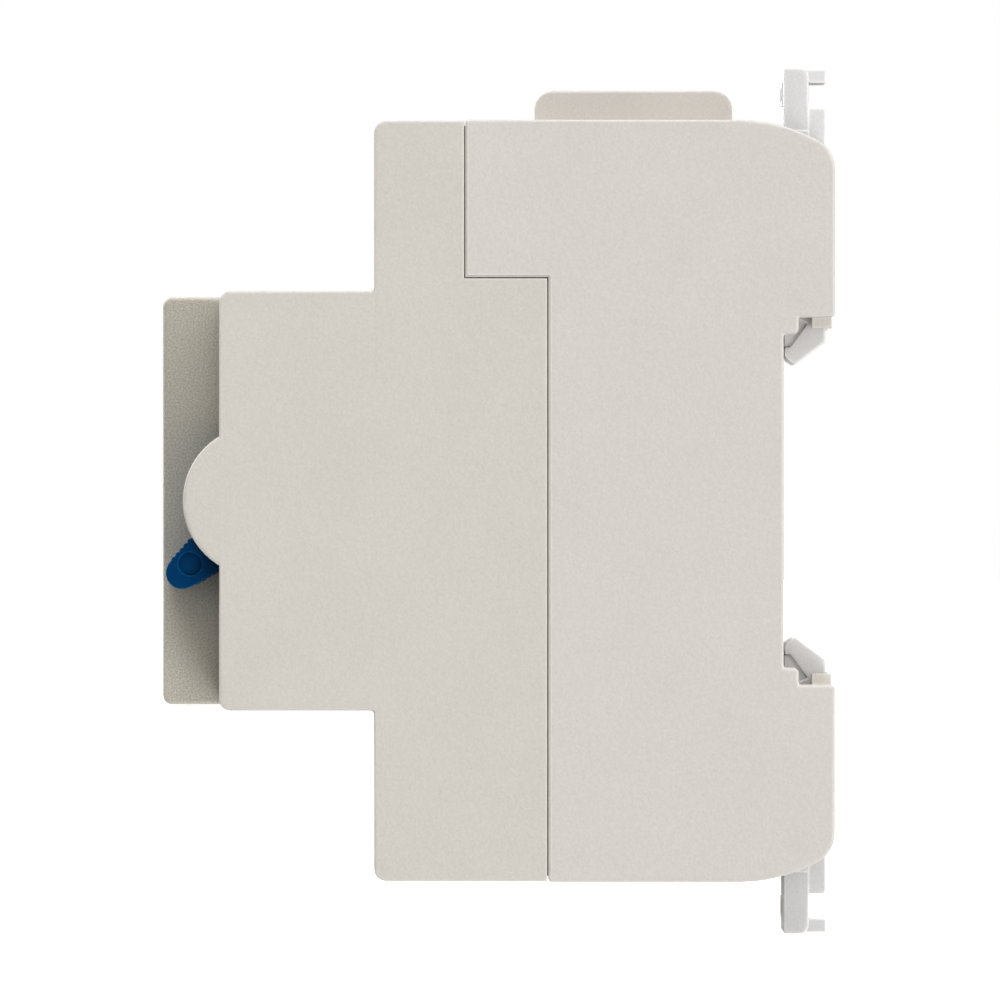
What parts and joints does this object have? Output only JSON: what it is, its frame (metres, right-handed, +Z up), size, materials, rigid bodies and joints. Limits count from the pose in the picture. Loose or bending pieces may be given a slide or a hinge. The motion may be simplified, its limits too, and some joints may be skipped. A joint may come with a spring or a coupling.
{
  "type": "residual current switch",
  "caption": "DIN rail residual current switch with toggle lever, test button, status window, screw clamp terminals and sprung rail clips.",
  "frame": {"origin": "centre of the flat seat that lies against the mounting rail", "axes": "+Y out of the seat towards the rail and the wall behind it, +Z up towards the upper terminals, +X to the right seen from the front"},
  "size_m": [0.0356, 0.0725, 0.0934],
  "materials": {
    "housing": "fine satin moulding, warm light grey",
    "lever_blue": "semi-gloss deep blue",
    "clip_white": "satin white",
    "button_grey": "semi-gloss grey",
    "flag_green": "green face",
    "window_clear": "clear polycarbonate",
    "label": "bare film label",
    "steel": "bright steel",
    "spring_steel": "drawn spring wire",
    "zinc": "zinc plated steel",
    "copper": "bare copper",
    "carrier_black": "glass filled black",
    "board_green": "solder mask",
    "relay_grey": "dark grey moulding",
    "core_dark": "tape wound core",
    "case_amber": "amber moulding"
  },
  "bodies": {
    "housing": {"rear_base": "housing", "front_cover": "housing", "housing_screw_upper_left": "zinc", "housing_screw_upper_right": "zinc", "housing_screw_lower_left": "zinc", "housing_screw_lower_right": "zinc", "rating_label": "label", "indicator_window": "window_clear", "circuit_board": "board_green", "test_contact": "copper", "test_resistor": "case_amber", "test_button_spring": "spring_steel", "lever_pin": "steel", "lever_spring": "spring_steel", "carrier_shaft": "steel", "opening_spring": "spring_steel", "upper_strap_left": "copper", "upper_strap_right": "copper", "lower_strap_left": "copper", "lower_strap_right": "copper", "core_case": "case_amber", "core_ring": "core_dark", "secondary_winding": "copper", "primary_conductor_left": "copper", "primary_conductor_right": "copper", "trip_relay": "relay_grey", "latch_pin": "steel", "mechanism_plate": "zinc", "upper_clip_spring": "spring_steel", "lower_clip_spring": "spring_steel"},
    "toggle": {"toggle_lever": "lever_blue"},
    "link": {"toggle_link": "steel"},
    "carrier": {"contact_carrier": "carrier_black", "moving_contact_left": "copper", "moving_contact_right": "copper", "contact_spring_left": "spring_steel", "contact_spring_right": "spring_steel"},
    "indicator": {"indicator_flag": "flag_green"},
    "button": {"test_button": "button_grey"},
    "plunger": {"relay_plunger": "steel"},
    "latch": {"trip_latch": "steel"},
    "upper_clip": {"upper_rail_clip": "clip_white"},
    "lower_clip": {"lower_rail_clip": "clip_white"},
    "screw_upper_left": {"terminal_screw_upper_left": "zinc"},
    "cage_upper_left": {"clamp_cage_upper_left": "zinc"},
    "screw_upper_right": {"terminal_screw_upper_right": "zinc"},
    "cage_upper_right": {"clamp_cage_upper_right": "zinc"},
    "screw_lower_left": {"terminal_screw_lower_left": "zinc"},
    "cage_lower_left": {"clamp_cage_lower_left": "zinc"},
    "screw_lower_right": {"terminal_screw_lower_right": "zinc"},
    "cage_lower_right": {"clamp_cage_lower_right": "zinc"}
  },
  "joints": [
    {"name": "toggle_hinge", "type": "hinge", "parent": "housing", "child": "toggle", "pos_m": [0.008, -0.0563, 0], "axis": [-1, 0, 0], "range_deg": [0, 86.4]},
    {"name": "link_pivot", "type": "hinge", "parent": "toggle", "child": "link", "pos_m": [0.0039, -0.05266, 0.00342], "axis": [1, 0, 0], "range_deg": [0, 86.6]},
    {"name": "carrier_hinge", "type": "hinge", "parent": "housing", "child": "carrier", "pos_m": [0, -0.0298, -0.008], "axis": [1, 0, 0], "range_deg": [0, 40.13]},
    {"name": "indicator_hinge", "type": "hinge", "parent": "housing", "child": "indicator", "pos_m": [-0.009, -0.0563, 0], "axis": [-1, 0, 0], "range_deg": [0, 28.9]},
    {"name": "test_button_slide", "type": "slide", "parent": "housing", "child": "button", "axis": [0, 1, 0], "range_m": [0, 0.0018], "stiffness_N_per_m": 600, "springref_m": -0.0015, "deforming": ["test_button_spring"]},
    {"name": "plunger_slide", "type": "slide", "parent": "housing", "child": "plunger", "axis": [0, 0, -1], "range_m": [0, 0.0012], "stiffness_N_per_m": 100, "springref_m": -0.001},
    {"name": "latch_hinge", "type": "hinge", "parent": "housing", "child": "latch", "pos_m": [-0.005, -0.0405, -0.001], "axis": [1, 0, 0], "range_deg": [0, 11.6]},
    {"name": "upper_clip_slide", "type": "slide", "parent": "housing", "child": "upper_clip", "axis": [0, 0, 1], "range_m": [0, 0.0045], "stiffness_N_per_m": 1500, "springref_m": -0.004, "deforming": ["upper_clip_spring"]},
    {"name": "lower_clip_slide", "type": "slide", "parent": "housing", "child": "lower_clip", "axis": [0, 0, -1], "range_m": [0, 0.0045], "stiffness_N_per_m": 1500, "springref_m": -0.004, "deforming": ["lower_clip_spring"]},
    {"name": "screw_turn_upper_left", "type": "hinge", "parent": "housing", "child": "screw_upper_left", "pos_m": [-0.009, -0.037, 0.0324], "axis": [0, 1, 0], "range_deg": [0, 1810]},
    {"name": "cage_slide_upper_left", "type": "slide", "parent": "housing", "child": "cage_upper_left", "axis": [0, -1, 0], "range_m": [0, 0.004]},
    {"name": "screw_turn_upper_right", "type": "hinge", "parent": "housing", "child": "screw_upper_right", "pos_m": [0.009, -0.037, 0.0324], "axis": [0, 1, 0], "range_deg": [0, 1810]},
    {"name": "cage_slide_upper_right", "type": "slide", "parent": "housing", "child": "cage_upper_right", "axis": [0, -1, 0], "range_m": [0, 0.004]},
    {"name": "screw_turn_lower_left", "type": "hinge", "parent": "housing", "child": "screw_lower_left", "pos_m": [-0.009, -0.037, -0.0324], "axis": [0, 1, 0], "range_deg": [0, 1810]},
    {"name": "cage_slide_lower_left", "type": "slide", "parent": "housing", "child": "cage_lower_left", "axis": [0, -1, 0], "range_m": [0, 0.004]},
    {"name": "screw_turn_lower_right", "type": "hinge", "parent": "housing", "child": "screw_lower_right", "pos_m": [0.009, -0.037, -0.0324], "axis": [0, 1, 0], "range_deg": [0, 1810]},
    {"name": "cage_slide_lower_right", "type": "slide", "parent": "housing", "child": "cage_lower_right", "axis": [0, -1, 0], "range_m": [0, 0.004]}
  ],
  "couplings": [
    {"joint": "link_pivot", "follows": "toggle_hinge", "ratio": 1},
    {"joint": "carrier_hinge", "follows": "toggle_hinge", "ratio": 0.46332},
    {"joint": "indicator_hinge", "follows": "toggle_hinge", "ratio": 0.33333},
    {"joint": "latch_hinge", "follows": "plunger_slide", "rad_per_m": 166.7},
    {"joint": "screw_turn_upper_left", "follows": "cage_slide_upper_left", "rad_per_m": 7854},
    {"joint": "screw_turn_upper_right", "follows": "cage_slide_upper_right", "rad_per_m": 7854},
    {"joint": "screw_turn_lower_left", "follows": "cage_slide_lower_left", "rad_per_m": 7854},
    {"joint": "screw_turn_lower_right", "follows": "cage_slide_lower_right", "rad_per_m": 7854}
  ]
}
